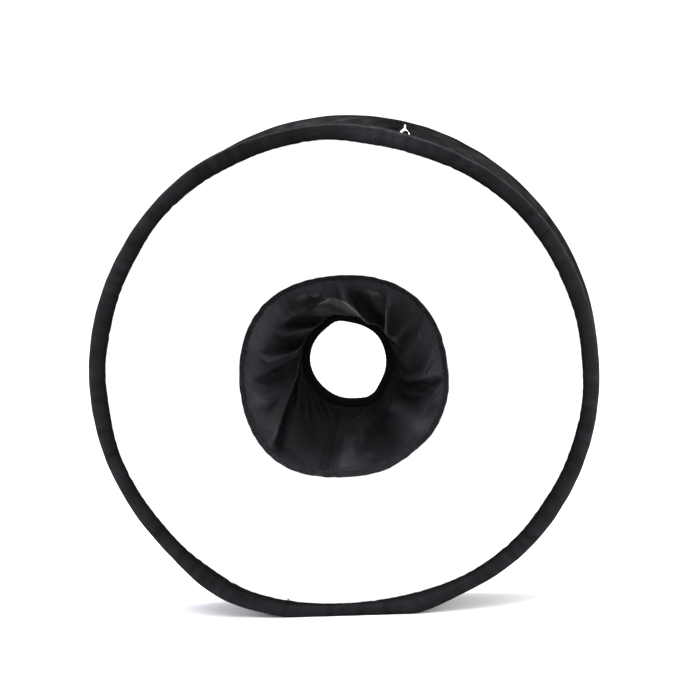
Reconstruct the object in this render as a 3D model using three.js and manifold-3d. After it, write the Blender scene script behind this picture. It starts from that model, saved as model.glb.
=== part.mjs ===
// Collapsible ring softbox: two spring-steel hoops in fabric bindings, joined by a fabric side wall,
// with a white front diffuser, a black rear panel and a black lens tunnel through the middle.
// Millimetres, +Z up. The diffuser faces -Y, and the box stands on the flattened foot of its rims.
import * as THREE from 'three';
import { mergeVertices } from 'three/addons/utils/BufferGeometryUtils.js';
import Module from 'manifold-3d';

const wasm = await Module();
wasm.setup();

// Driving dimensions.
const OUTER_RADIUS = 225;          // over the rim bindings
const HOOP_SPACING = 70;           // between the planes of the two hoops
const RING_HEIGHT = 216.6;         // height of the hoops' centres over the foot
const RIM_BAND = 14.5;             // width of a rim binding, seen from the front
const RIM_HALF_DEPTH = 3.6;        // half the thickness of a rim binding
const CLOTH = 0.8;                 // thickness of a cloth ply with its coating
const GAP = 0.3;                   // clearance between pieces that touch
const TUNNEL_FRONT_RADIUS = 92.7;  // outer edge of the hem round the tunnel's mouth
const LENS_HOLE_RADIUS = 35.5;     // the hole that the lens looks through
const PORT_WIDTH = 80;             // opening for the head of a flash
const PORT_HEIGHT = 48;
const PORT_RISE = 138;             // centre of the flash opening over the hoops' centres
const SLEEVE_LENGTH = 28;          // how far the flash sleeve stands out behind
const SLIT_ANGLE = radians(18.5);  // angles are measured from the top towards +X
const SLIT_FRONT_HALF = 5;         // half the width of the wall's slit, an arch at its front
const SLIT_REAR_HALF = 0.9;        // and the same in the narrow stem behind the arch
const SLIT_ARCH = 0.62;            // share of the slit's length that the arch takes
const SLIT_LEAN = -7;              // how far the slit's rear end lies towards -X from its front end
const TAB_WIDTH = 5.6;
const TAB_THICKNESS = 1.6;
const TAB_BASE_RADIUS = 221.7;     // the tab is sewn on here and stands up to its tip
const TAB_TIP_RADIUS = 226.3;
const WALL_RADIUS = 224.3;         // outer face of the side wall
const JOIN_ANGLE = radians(194);   // where the ends of each hoop meet
const SEAM_ANGLE = radians(195);   // seam of the tunnel
const RIM_STEPS = 60;              // facets round the rims
const TUNNEL_STEPS = 40;           // facets round the tunnel

// How the soft rings settle on the ground: bells in and out of the true circle, sized in millimetres.
const FOOT_BELLS = [
  { size: 6, at: radians(212), spread: radians(11) },
  { size: -3, at: radians(155), spread: radians(12) },
];
const FRONT_BELLS = [
  { size: -3, at: radians(347), spread: radians(14) },
  { size: -4.9, at: radians(20), spread: radians(22) },
  { size: -2, at: radians(305), spread: radians(26) },
];
const BAND_BELLS = [
  { size: -6.6, at: radians(172), spread: radians(23) },
  { size: 2.4, at: radians(207), spread: radians(10) },
];
const FRONT_BAND_BELLS = [
  { size: -4.4, at: radians(19), spread: radians(15) },
  { size: -2.4, at: radians(350), spread: radians(50) },
  { size: -1.6, at: radians(338), spread: radians(12) },
  { size: -2.6, at: radians(288), spread: radians(28) },
  { size: -1.8, at: radians(127), spread: radians(14) },
];
const OVAL = 2.4;                  // how much wider than a circle the front ring sags at each side
const REAR_OVAL_SHARE = 0.3;
const FOOT_BLEND = 3;              // height over which the foot turns into the round
const HOOP_ZONE = 216.5;           // outside this radius everything moves with the hoop
const CORE_RADIUS = 100;           // inside this radius the rims' settling isn't felt
const MOUTH_SHIFT = { x: 1.6, z: -1.4 };
const HOLE_SHIFT = { x: -1.5, z: 4.3 };
const REAR_RISE = 2.5;             // the rear hoop stays rounder, so its centre is this much higher

const FRONT_PLANE = -HOOP_SPACING / 2;
const REAR_PLANE = HOOP_SPACING / 2;
const RIM_INNER_RADIUS = OUTER_RADIUS - RIM_BAND;
const WALL_END = REAR_PLANE - RIM_HALF_DEPTH - GAP;

const BLACK_TAPE = { color: 0x222226, roughness: 0.9 };
const BLACK_CLOTH = { color: 0x1c1d20, roughness: 0.7 };
const WHITE_CLOTH = { color: 0xf4f5f6, roughness: 0.85 };
const SILVER_CLOTH = { color: 0xb9bcc0, roughness: 0.35, metalness: 0.7 };
const GREY_FOAM = { color: 0x54575b, roughness: 0.95 };
const SPRING_STEEL = { color: 0x8d9196, roughness: 0.3, metalness: 1 };
const BLACK_ELASTIC = { color: 0x18181a, roughness: 0.8 };
const HOOK_AND_LOOP = { color: 0x141416, roughness: 1 };

function radians(degrees) {
  return degrees * Math.PI / 180;
}

function smooth(t) {
  const s = Math.min(1, Math.max(0, t));
  return s * s * (3 - 2 * s);
}

function mix(a, b, t) {
  return a + (b - a) * t;
}

// How much of a bell-shaped bulge or dip is felt at an angle.
function bell(angle, { size, at, spread }) {
  const away = Math.atan2(Math.sin(angle - at), Math.cos(angle - at));
  return size * Math.exp(-((away / spread) ** 2));
}

// The height of a point held up by the ground: flat on it at first, then rounding off.
function onGround(height) {
  if (height <= -FOOT_BLEND) return 0;
  if (height >= FOOT_BLEND) return height;
  return (height + FOOT_BLEND) ** 2 / (4 * FOOT_BLEND);
}

function bells(angle, list) {
  return list.reduce((total, each) => total + bell(angle, each), 0);
}

// How far the rim at this angle and depth moves from the true circle.
function rimShift(angle, y) {
  const depth = (y - FRONT_PLANE) / HOOP_SPACING;
  const radius = OUTER_RADIUS + bells(angle, FOOT_BELLS) + bells(angle, FRONT_BELLS) * (1 - depth);
  const height = onGround(RING_HEIGHT + REAR_RISE * depth + radius * Math.cos(angle));
  const oval = OVAL * mix(1, REAR_OVAL_SHARE, depth);
  return {
    x: (radius - OUTER_RADIUS + oval) * Math.sin(angle),
    z: height - RING_HEIGHT - OUTER_RADIUS * Math.cos(angle),
  };
}

// How far the inner edge of the rim's soft band moves: less sharply than the hoop.
function innerShift(angle, y) {
  const depth = (y - FRONT_PLANE) / HOOP_SPACING;
  const inward = bells(angle, BAND_BELLS) + bells(angle, FRONT_BAND_BELLS) * (1 - depth);
  const oval = OVAL * mix(1, REAR_OVAL_SHARE, depth);
  return {
    x: (inward + oval) * Math.sin(angle),
    z: REAR_RISE * depth + inward * Math.cos(angle),
  };
}

// Moves a piece built round the Y axis to where it lies in the standing box.
function settle(geometry) {
  const place = geometry.attributes.position;
  for (let i = 0; i < place.count; i += 1) {
    const x = place.getX(i);
    const y = place.getY(i);
    const z = place.getZ(i);
    const [radius, angle] = [Math.hypot(x, z), Math.atan2(x, z)];
    const hoop = rimShift(angle, y);
    const band = innerShift(angle, y);
    const inHoop = Math.min(1, Math.max(0, (radius - RIM_INNER_RADIUS) / (HOOP_ZONE - RIM_INNER_RADIUS)));
    const held = smooth((radius - CORE_RADIUS) / (RIM_INNER_RADIUS - CORE_RADIUS));
    const depth = (y - FRONT_PLANE) / HOOP_SPACING;
    const coreX = mix(MOUTH_SHIFT.x, HOLE_SHIFT.x, depth);
    const coreZ = mix(MOUTH_SHIFT.z, HOLE_SHIFT.z, depth);
    const shiftX = mix(coreX, mix(band.x, hoop.x, inHoop), held);
    const shiftZ = mix(coreZ, mix(band.z, hoop.z, inHoop), held);
    place.setXYZ(i, x + shiftX, y, z + RING_HEIGHT + shiftZ);
  }
  return geometry;
}

// A geometry with its shared vertices merged and its faces pointing out.
function closed(geometry) {
  geometry.deleteAttribute('normal');
  geometry.deleteAttribute('uv');
  const merged = mergeVertices(geometry);
  const corners = merged.index.array;
  const place = merged.attributes.position;
  const [a, b, c] = [new THREE.Vector3(), new THREE.Vector3(), new THREE.Vector3()];
  let volume = 0;
  for (let i = 0; i < corners.length; i += 3) {
    a.fromBufferAttribute(place, corners[i]);
    b.fromBufferAttribute(place, corners[i + 1]);
    c.fromBufferAttribute(place, corners[i + 2]);
    volume += a.dot(b.cross(c));
  }
  if (volume < 0) corners.reverse();
  return merged;
}

// A ring round the Y axis from a closed outline of [radius, y] points.
function ring(outline, steps) {
  const points = [...outline, outline[0]].map(([radius, y]) => new THREE.Vector2(radius, y));
  return settle(closed(new THREE.LatheGeometry(points, steps)));
}

function toSolid(geometry) {
  const mesh = new wasm.Mesh({
    numProp: 3,
    vertProperties: Float32Array.from(geometry.attributes.position.array),
    triVerts: Uint32Array.from(geometry.index.array),
  });
  return new wasm.Manifold(mesh);
}

function toGeometry(solid) {
  const { vertProperties, triVerts } = solid.getMesh();
  const geometry = new THREE.BufferGeometry();
  geometry.setAttribute('position', new THREE.BufferAttribute(vertProperties, 3));
  geometry.setIndex(new THREE.BufferAttribute(triVerts, 1));
  return geometry;
}

function cut(geometry, ...tools) {
  return toGeometry(tools.reduce((rest, tool) => rest.subtract(toSolid(tool)), toSolid(geometry)));
}

function common(geometry, tool) {
  return toGeometry(toSolid(geometry).intersect(toSolid(tool)));
}

function roundedRectangle(width, height, corner, path = new THREE.Shape()) {
  const [w, h] = [width / 2, height / 2];
  path.moveTo(corner - w, -h);
  path.lineTo(w - corner, -h);
  path.absarc(w - corner, corner - h, corner, -Math.PI / 2, 0);
  path.lineTo(w, h - corner);
  path.absarc(w - corner, h - corner, corner, 0, Math.PI / 2);
  path.lineTo(corner - w, h);
  path.absarc(corner - w, h - corner, corner, Math.PI / 2, Math.PI);
  path.lineTo(-w, corner - h);
  path.absarc(corner - w, corner - h, corner, Math.PI, Math.PI * 1.5);
  return path;
}

// A shape drawn in X and Z, given depth from y = from to y = to.
function plate(shape, from, to) {
  const options = { depth: to - from, bevelEnabled: false, curveSegments: 4 };
  return closed(new THREE.ExtrudeGeometry(shape, options).rotateX(Math.PI / 2).translate(0, to, 0));
}

// A rounded frame in X and Z: the outer size with a hole that leaves walls of one thickness.
function frame(width, height, corner, thickness, from, to) {
  const shape = roundedRectangle(width, height, corner);
  const inner = [width - 2 * thickness, height - 2 * thickness, corner - thickness];
  shape.holes.push(roundedRectangle(...inner, new THREE.Path()));
  return plate(shape, from, to);
}

// A block standing out from the Y axis at an angle: along is measured round the ring.
function radialBlock(angle, along, inner, outer, from, to) {
  const block = new THREE.BoxGeometry(along, to - from, outer - inner);
  block.translate(0, (from + to) / 2, (inner + outer) / 2).rotateY(angle);
  return closed(block);
}

// The same block moved with the rim that it cuts.
function blockOnRim(angle, along, inner, outer, plane) {
  const shift = rimShift(angle, plane);
  const block = radialBlock(angle, along, inner, outer, plane - 10, plane + 10);
  return block.translate(shift.x, 0, shift.z + RING_HEIGHT);
}

function piece(name, geometry, look) {
  const mesh = new THREE.Mesh(geometry, new THREE.MeshStandardMaterial(look));
  mesh.name = name;
  return mesh;
}

// One rim: a flat spring-steel hoop, the crimped ferrule over its ends, and a binding that is
// folded over both, with a slot along its inner edge for the cloth that it holds.
function rimPieces(side, plane) {
  const hoopInner = 221.5;
  const hoopOuter = 222.6;
  const hoopHalf = 1.7;
  const ferruleWall = 0.5;
  const at = (radius, y) => [radius, plane + y];
  const box = (grow) => [
    at(hoopInner - grow, -hoopHalf - grow),
    at(hoopOuter + grow, -hoopHalf - grow),
    at(hoopOuter + grow, hoopHalf + grow),
    at(hoopInner - grow, hoopHalf + grow),
  ];

  const hoop = cut(ring(box(0), RIM_STEPS), blockOnRim(JOIN_ANGLE, 1, 215, 230, plane));

  const tube = cut(ring(box(GAP + ferruleWall), RIM_STEPS), ring(box(GAP), RIM_STEPS));
  const ferrule = common(tube, blockOnRim(JOIN_ANGLE, 28, 215, 230, plane));

  const slotHalf = CLOTH / 2 + 0.35;
  const pocketInner = 220.3;
  const pocketOuter = 223.8;
  const pocketHalf = 2.8;
  const footHalf = 1.8;
  const binding = ring([
    at(RIM_INNER_RADIUS, -2.1),
    at(218, -RIM_HALF_DEPTH),
    at(223.2, -3.3),
    at(OUTER_RADIUS, -footHalf),
    at(OUTER_RADIUS, footHalf),
    at(223.2, 3.3),
    at(218, RIM_HALF_DEPTH),
    at(RIM_INNER_RADIUS, 2.1),
    at(RIM_INNER_RADIUS, slotHalf),
    at(pocketInner, slotHalf),
    at(pocketInner, pocketHalf),
    at(pocketOuter, pocketHalf),
    at(pocketOuter, -pocketHalf),
    at(pocketInner, -pocketHalf),
    at(pocketInner, -slotHalf),
    at(RIM_INNER_RADIUS, -slotHalf),
  ], RIM_STEPS);

  return [
    piece(`${side}_hoop`, hoop, SPRING_STEEL),
    piece(`${side}_hoop_ferrule`, ferrule, SPRING_STEEL),
    piece(`${side}_rim_binding`, binding, BLACK_TAPE),
  ];
}

// A flat cloth ring between two radii, with rings of vertices where it stretches.
function flatCloth(radii, plane, thickness) {
  const front = radii.map((radius) => [radius, plane - thickness / 2]);
  const rear = radii.map((radius) => [radius, plane + thickness / 2]).reverse();
  return ring([...front, ...rear], RIM_STEPS);
}

function frontDiffuser() {
  const radii = [TUNNEL_FRONT_RADIUS - 2.4, 150, RIM_INNER_RADIUS, 219.5];
  return piece('front_diffuser', flatCloth(radii, FRONT_PLANE, CLOTH), WHITE_CLOTH);
}

function portOpening(margin) {
  const shape = roundedRectangle(PORT_WIDTH + margin, PORT_HEIGHT + margin, 6);
  return plate(shape, REAR_PLANE - 10, REAR_PLANE + 10).translate(0, 0, RING_HEIGHT + PORT_RISE);
}

function rearPanel() {
  const panel = flatCloth([LENS_HOLE_RADIUS + 6.1, 120, RIM_INNER_RADIUS, 219.5], REAR_PLANE, CLOTH);
  const lining = flatCloth([LENS_HOLE_RADIUS + 9.7, 120, 209.8], REAR_PLANE - 1.8, 0.6);
  return [
    piece('rear_panel', cut(panel, portOpening(0)), BLACK_CLOTH),
    piece('rear_lining', cut(lining, portOpening(2)), SILVER_CLOTH),
  ];
}

// Half the width of the wall's slit, from its front end, share = 0, to its rear end, share = 1.
function slitHalf(share) {
  const arch = Math.sqrt(Math.max(0, 1 - (share / SLIT_ARCH) ** 2));
  return mix(SLIT_REAR_HALF, SLIT_FRONT_HALF, arch);
}

// The wall is three plies. The outer two stop at the slit in its top, which shows the white lining.
function sideWall() {
  const edgeWidth = 2.4;
  const past = 1;
  const shares = [...[0, 0.4, 0.7, 0.9, 1].map((part) => part * SLIT_ARCH), 0.8, 1];
  const side = (sign, reach) => shares.map((share) => new THREE.Vector2(
    sign * (slitHalf(share) + reach) + SLIT_LEAN * share, mix(-WALL_END, WALL_END, share)));

  const onWall = (outline, inner, outer) => {
    const options = { depth: outer - inner, bevelEnabled: false };
    const bar = new THREE.ExtrudeGeometry(new THREE.Shape(outline), options);
    return settle(closed(bar.translate(0, 0, inner).rotateY(SLIT_ANGLE)));
  };
  const edge = (name, sign) => {
    const outline = [...side(sign, 0), ...side(sign, edgeWidth).reverse()];
    return piece(name, onWall(outline, WALL_RADIUS - 2.7, WALL_RADIUS + 0.8), BLACK_TAPE);
  };
  const opening = [...side(1, edgeWidth + GAP), ...side(-1, edgeWidth + GAP).reverse()];
  const stretched = opening.map(({ x, y }) => new THREE.Vector2(x, y * (1 + past / WALL_END)));
  const slitCut = onWall(stretched, WALL_RADIUS - 3, WALL_RADIUS + 2);

  const levels = [-1, -0.5, 0, 0.5, 1].map((part) => part * WALL_END);
  const tube = (outer, thickness) => {
    const outside = levels.map((y) => [outer, y]);
    const inside = levels.map((y) => [outer - thickness, y]).reverse();
    return ring([...outside, ...inside], RIM_STEPS);
  };

  return [
    piece('side_wall', cut(tube(WALL_RADIUS, 0.7), slitCut), BLACK_CLOTH),
    piece('wall_stiffener', cut(tube(WALL_RADIUS - 1.5, 0.7), slitCut), GREY_FOAM),
    piece('side_wall_lining', tube(WALL_RADIUS - 3.2, 0.6), WHITE_CLOTH),
    edge('slit_edge_right', 1),
    edge('slit_edge_left', -1),
  ];
}

// A rounded tongue sewn to the back of the front rim, standing in the mouth of the slit.
function pullTab() {
  const half = TAB_WIDTH / 2;
  const shape = new THREE.Shape();
  shape.moveTo(-half, TAB_BASE_RADIUS);
  shape.lineTo(half, TAB_BASE_RADIUS);
  shape.lineTo(half, TAB_TIP_RADIUS - half);
  shape.absarc(0, TAB_TIP_RADIUS - half, half, 0, Math.PI);
  shape.closePath();
  const from = FRONT_PLANE + RIM_HALF_DEPTH + GAP;
  return piece('pull_tab', settle(plate(shape, from, from + TAB_THICKNESS).rotateY(SLIT_ANGLE)), BLACK_TAPE);
}

// The radius of the tunnel's cloth from its mouth, t = 0, to the lens hole, t = 1.
function tunnelRadius(t) {
  return mix(LENS_HOLE_RADIUS + 9.5, TUNNEL_FRONT_RADIUS - 3.2, (1 - t) ** 1.15);
}

function tunnelShell(offset, thickness) {
  const start = FRONT_PLANE + 2.5;
  const end = REAR_PLANE - 4.8;
  const bands = 5;
  const along = Array.from({ length: bands + 1 }, (_, i) => i / bands);
  const inner = along.map((t) => [tunnelRadius(t) + offset, mix(start, end, t)]);
  const outer = inner.map(([radius, y]) => [radius + thickness, y]).reverse();
  return ring([...inner, ...outer], TUNNEL_STEPS);
}

function tunnelMouthHem() {
  const slotHalf = CLOTH / 2 + 0.35;
  const at = (inward, y) => [TUNNEL_FRONT_RADIUS - inward, FRONT_PLANE + y];
  const outline = [
    at(0, -1.7), at(3.4, -1.9), at(4.5, -0.7), at(4.5, 1), at(3.4, 2.1), at(0, 1.7),
    at(0, slotHalf), at(2.9, slotHalf), at(2.9, -slotHalf), at(0, -slotHalf),
  ];
  return piece('tunnel_front_hem', ring(outline, RIM_STEPS), BLACK_TAPE);
}

// The hem round the lens hole is a casing for the elastic, and holds the rear panel's edge.
function lensHolePieces() {
  const slotHalf = CLOTH / 2 + 0.35;
  const at = (outward, y) => [LENS_HOLE_RADIUS + outward, REAR_PLANE + y];
  const hem = ring([
    at(9, -3.2), at(3.5, -4.4), at(0.7, -3.8), at(0, -2.6), at(0, 1.4), at(0.7, 2.3), at(9, 2.3),
    at(9, slotHalf), at(5.7, slotHalf), at(5.7, 1.1), at(1.2, 1.1), at(1.2, -2.7),
    at(5.7, -2.7), at(5.7, -slotHalf), at(9, -slotHalf),
  ], TUNNEL_STEPS);

  const sides = 6;
  const cordRadius = 1.5;
  const section = Array.from({ length: sides }, (_, i) => {
    const turn = (i / sides) * 2 * Math.PI;
    return at(3.45 + cordRadius * Math.cos(turn), -0.8 + cordRadius * Math.sin(turn));
  });
  return [
    piece('tunnel_rear_hem', hem, BLACK_TAPE),
    piece('lens_elastic', ring(section, TUNNEL_STEPS), BLACK_ELASTIC),
  ];
}

function lensTunnel() {
  const seamShell = tunnelShell(-1.1, 0.6);
  const seamWidth = 6;
  const wedge = radialBlock(SEAM_ANGLE, seamWidth, 10, 110, FRONT_PLANE + 5, REAR_PLANE - 6);
  return [
    piece('lens_tunnel', tunnelShell(0, CLOTH), BLACK_CLOTH),
    piece('tunnel_lining', tunnelShell(CLOTH + 0.5, 0.6), SILVER_CLOTH),
    piece('tunnel_seam_tape', common(seamShell, wedge.translate(0, 0, RING_HEIGHT)), BLACK_TAPE),
  ];
}

// The flash port behind the rear panel, drawn about the centre of the opening, with Y from the panel.
function flashPort() {
  const facingWidth = 12;
  const sleeveWall = 1.2;
  const corner = 7;
  const face = CLOTH / 2 + GAP;
  const sleeveStart = face + CLOTH + GAP;
  const sleeveEnd = sleeveStart + SLEEVE_LENGTH;
  const sleeve = [PORT_WIDTH + 2 * sleeveWall, PORT_HEIGHT + 2 * sleeveWall];

  const strapThickness = 1.4;
  const strapWidth = 18;
  const strapStart = sleeveStart + 5;
  const around = sleeve.map((size) => size + 2 * (GAP + strapThickness));
  const strapTop = around[1] / 2;
  const patch = CLOTH;
  const loopTop = strapTop + GAP + patch;
  const tailUnder = loopTop + 2 * GAP + patch;
  const tailThickness = 1.2;
  const tailStart = -33;
  const tailEnd = 24;

  const bar = (from, to, low, high, inset) => {
    const block = new THREE.BoxGeometry(to - from, strapWidth - 2 * inset, high - low);
    return closed(block.translate((from + to) / 2, strapStart + strapWidth / 2, (low + high) / 2));
  };
  const tailOutline = new THREE.Shape([
    [tailStart, strapTop + GAP],
    [-17, strapTop + GAP],
    [-13, tailUnder],
    [tailEnd, tailUnder],
    [tailEnd, tailUnder + tailThickness],
    [-13.4, tailUnder + tailThickness],
    [-17.4, strapTop + GAP + tailThickness],
    [tailStart, strapTop + GAP + tailThickness],
  ].map(([x, z]) => new THREE.Vector2(x, z)));

  const facing = [PORT_WIDTH + 2 * facingWidth, PORT_HEIGHT + 2 * facingWidth];
  const hem = [PORT_WIDTH + 5, PORT_HEIGHT + 5];
  const port = new THREE.Group();
  port.add(
    piece('port_facing', frame(...facing, 18, facingWidth, face, face + CLOTH), BLACK_CLOTH),
    piece('flash_sleeve', frame(...sleeve, corner, sleeveWall, sleeveStart, sleeveEnd), BLACK_CLOTH),
    piece('sleeve_mouth_hem', frame(...hem, corner + 1, 2.5, sleeveEnd + GAP, sleeveEnd + 4), BLACK_TAPE),
    piece('flash_strap',
      frame(...around, corner + 2, strapThickness, strapStart, strapStart + strapWidth), BLACK_TAPE),
    piece('strap_loop_patch', bar(-10, 30, strapTop + GAP, loopTop, 1), HOOK_AND_LOOP),
    piece('strap_hook_patch', bar(-10, 20, loopTop + GAP, tailUnder - GAP, 1), HOOK_AND_LOOP),
    piece('strap_tail', plate(tailOutline, strapStart, strapStart + strapWidth), BLACK_TAPE),
  );
  port.position.set(0, REAR_PLANE, RING_HEIGHT + PORT_RISE);
  return { port, reach: sleeveEnd + 4 };
}

const { port, reach } = flashPort();
const softbox = new THREE.Group();
softbox.add(
  ...rimPieces('front', FRONT_PLANE),
  ...rimPieces('rear', REAR_PLANE),
  frontDiffuser(),
  ...rearPanel(),
  ...sideWall(),
  pullTab(),
  tunnelMouthHem(),
  ...lensTunnel(),
  ...lensHolePieces(),
  port,
);
// The origin is under the middle of the whole depth, from the front rim to the sleeve's mouth.
const frontReach = HOOP_SPACING / 2 + RIM_HALF_DEPTH;
softbox.position.y = (frontReach - REAR_PLANE - reach) / 2;

export default softbox;
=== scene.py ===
import math

import bpy
import numpy as np
from mathutils import Matrix, Vector


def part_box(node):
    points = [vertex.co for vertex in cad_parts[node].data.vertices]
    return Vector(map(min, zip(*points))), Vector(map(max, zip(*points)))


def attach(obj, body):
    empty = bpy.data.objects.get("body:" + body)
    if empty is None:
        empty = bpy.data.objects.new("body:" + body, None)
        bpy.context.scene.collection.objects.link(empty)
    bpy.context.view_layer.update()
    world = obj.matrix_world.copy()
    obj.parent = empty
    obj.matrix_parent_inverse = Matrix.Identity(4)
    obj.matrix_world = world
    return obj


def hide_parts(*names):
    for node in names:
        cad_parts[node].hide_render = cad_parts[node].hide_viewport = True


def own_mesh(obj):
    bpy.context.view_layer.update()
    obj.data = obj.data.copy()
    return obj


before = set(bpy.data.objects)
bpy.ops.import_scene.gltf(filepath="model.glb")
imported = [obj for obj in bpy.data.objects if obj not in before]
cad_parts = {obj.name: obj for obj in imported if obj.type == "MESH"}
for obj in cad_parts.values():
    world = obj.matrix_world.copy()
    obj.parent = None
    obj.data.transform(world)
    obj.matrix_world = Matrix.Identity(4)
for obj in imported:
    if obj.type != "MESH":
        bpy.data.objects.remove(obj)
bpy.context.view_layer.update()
scene = bpy.context.scene

# Sizes of the standing softbox, in metres. Angles round the rings run from the top towards +X.
MM = 0.001
ROUND = 2 * math.pi  # one whole turn
front_low, front_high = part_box("front_rim_binding")
rear_low, rear_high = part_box("rear_rim_binding")
FRONT = (front_low.y + front_high.y) / 2
REAR = (rear_low.y + rear_high.y) / 2
SPACING = REAR - FRONT
OUTER = 225 * MM
RIM_HALF = (front_high.y - front_low.y) / 2
GAP = 0.3 * MM
WALL_FRONT = FRONT + RIM_HALF + GAP
WALL_REAR = REAR - RIM_HALF - GAP
RING_HEIGHT = 216.6 * MM
REAR_RISE = 2.5 * MM
RIM_INNER = OUTER - 14.5 * MM
HOOP_ZONE = 216.5 * MM
CLOTH_EDGE = 219.5 * MM
CORE_RADIUS = 100 * MM
MOUTH_RADIUS = 92.7 * MM
HOLE_RADIUS = 35.5 * MM
FOOT_BLEND = 3 * MM
OVAL = 2.4 * MM
REAR_OVAL_SHARE = 0.3
MOUTH_SHIFT = (1.6 * MM, -1.4 * MM)
HOLE_SHIFT = (-1.5 * MM, 4.3 * MM)

# Where the soft rings aren't round: by how many millimetres, at which angle and over how many degrees.
FOOT_BELLS = [(6, 212, 11), (-3, 155, 12)]
FRONT_BELLS = [(-3, 347, 14), (-4.9, 20, 22), (-2, 305, 26)]
BAND_BELLS = [(-6.6, 172, 23), (2.4, 207, 10)]
FRONT_BAND_BELLS = [(-4.4, 19, 15), (-2.4, 350, 50), (-1.6, 338, 12), (-2.6, 288, 28), (-1.8, 127, 14)]
HOLE_BELLS = [(2.3, 348, 14), (2.9, 150, 16), (0.8, 52, 18), (-1.6, 228, 35)]
MOUTH_BELLS = [(2.7, 48, 48), (1.3, 100, 12), (-2.9, 140, 15), (2.4, 217, 24), (-1.0, 285, 32)]

# The slit in the wall's top, the cloths' edges and the flash port.
SLIT_AT = 18.5  # degrees from the top
SLIT_ANGLE = math.radians(SLIT_AT)
SLIT_FRONT_HALF = 5 * MM
SLIT_REAR_HALF = 0.9 * MM
SLIT_ARCH = 0.60
SLIT_LEAN = -7 * MM
SLIT_TAPE = 2.4 * MM
WALL_RADIUS = 224.3 * MM
SEAM_ANGLE = math.radians(195)
TUNNEL_START = FRONT + 2.5 * MM
TUNNEL_END = REAR - 4.8 * MM
MOUTH_TUCK = 2.4 * MM  # how far the diffuser's edge lies inside the tunnel's mouth
HOLE_TUCK = 6.1 * MM  # how far the rear cloth's edge lies outside the lens hole
LINING_TUCK = 10 * MM  # the same for the rear lining, and the radius of its outer edge
LINING_EDGE = 209.8 * MM
PORT_HEIGHT = RING_HEIGHT + 138 * MM
PORT_SIZE = (80 * MM, 48 * MM)
PORT_CORNER = 6 * MM


# ---- the settled shape


def turns(count):
    """Angles evenly spaced once round."""
    return np.arange(count) / count * ROUND


def turn_from(angle, other):
    """How far an angle is from another, the shorter way round."""
    return np.arctan2(np.sin(angle - other), np.cos(angle - other))


def bell(angle, at, spread):
    """1 at one angle and falling off over a spread, both in degrees."""
    return np.exp(-((turn_from(angle, math.radians(at)) / math.radians(spread)) ** 2))


def bells(angle, listed):
    """The sum of bells, each a size in millimetres, the angle it is at and its spread in degrees."""
    total = 0
    for size, at, spread in listed:
        total = total + size * MM * bell(angle, at, spread)
    return total


def smooth(t):
    t = np.clip(t, 0, 1)
    return t * t * (3 - 2 * t)


def mix(a, b, t):
    return a + (b - a) * t


def unit(vectors):
    return vectors / np.linalg.norm(vectors, axis=-1, keepdims=True)


def outward(angle):
    """Unit vectors pointing away from the rings' axis."""
    return np.stack(np.broadcast_arrays(np.sin(angle), 0 * angle, np.cos(angle)), -1)


def squarish(wave, power):
    """Flattens a sine or cosine, so that the two make a rounded box instead of an oval."""
    return np.sign(wave) * np.abs(wave) ** power


def on_ground(height):
    """The height of a point held up by the ground: flat on it, then rounding off."""
    blend = (height + FOOT_BLEND) ** 2 / (4 * FOOT_BLEND)
    return np.where(height <= -FOOT_BLEND, 0, np.where(height >= FOOT_BLEND, height, blend))


def settle(radius, angle, y):
    """Points of rings built round the Y axis, moved to where they lie in the standing box."""
    radius, angle, y = np.broadcast_arrays(radius, angle, y)
    depth = (y - FRONT) / SPACING
    outer = OUTER + bells(angle, FOOT_BELLS) + bells(angle, FRONT_BELLS) * (1 - depth)
    inward = bells(angle, BAND_BELLS) + bells(angle, FRONT_BAND_BELLS) * (1 - depth)
    oval = OVAL * mix(1, REAR_OVAL_SHARE, depth)
    rise = REAR_RISE * depth
    up = np.cos(angle)
    side = np.sin(angle)
    hoop_x = (outer - OUTER + oval) * side
    hoop_z = on_ground(RING_HEIGHT + rise + outer * up) - RING_HEIGHT - OUTER * up
    band_x = (inward + oval) * side
    band_z = rise + inward * up
    in_hoop = np.clip((radius - RIM_INNER) / (HOOP_ZONE - RIM_INNER), 0, 1)
    held = smooth((radius - CORE_RADIUS) / (RIM_INNER - CORE_RADIUS))
    core_x = mix(MOUTH_SHIFT[0], HOLE_SHIFT[0], depth)
    core_z = mix(MOUTH_SHIFT[1], HOLE_SHIFT[1], depth)
    x = radius * side + mix(core_x, mix(band_x, hoop_x, in_hoop), held)
    z = radius * up + RING_HEIGHT + mix(core_z, mix(band_z, hoop_z, in_hoop), held)
    return np.stack([x, y, z], -1)


def waves(angle, low, high, seed, y=0.0, lean=0.0):
    """A seamless ripple round a ring, about -1 to 1, from a random mix of whole waves."""
    rng = np.random.default_rng(seed)
    total = 0
    for k in range(low, high + 1, max(1, (high - low) // 12)):
        share, phase, slope = rng.uniform(0.4, 1), rng.uniform(0, ROUND), rng.uniform(-1, 1)
        total = total + share * np.cos(k * angle + phase + lean * slope * y)
    return total / 2.6


def mouth_radius(angle):
    """The tunnel's mouth isn't quite round: its hem is pulled out at soft corners."""
    lobes = 1.7 * np.cos(2 * angle) + 1.8 * np.cos(4 * angle)
    return MOUTH_RADIUS - lobes * MM + bells(angle, MOUTH_BELLS)


def hole_radius(angle):
    """The lens hole's gathered edge has a few soft corners too, and is drawn in a little."""
    drawn_in = 0.4 * MM
    return HOLE_RADIUS - drawn_in + bells(angle, HOLE_BELLS)


# ---- meshes


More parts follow.
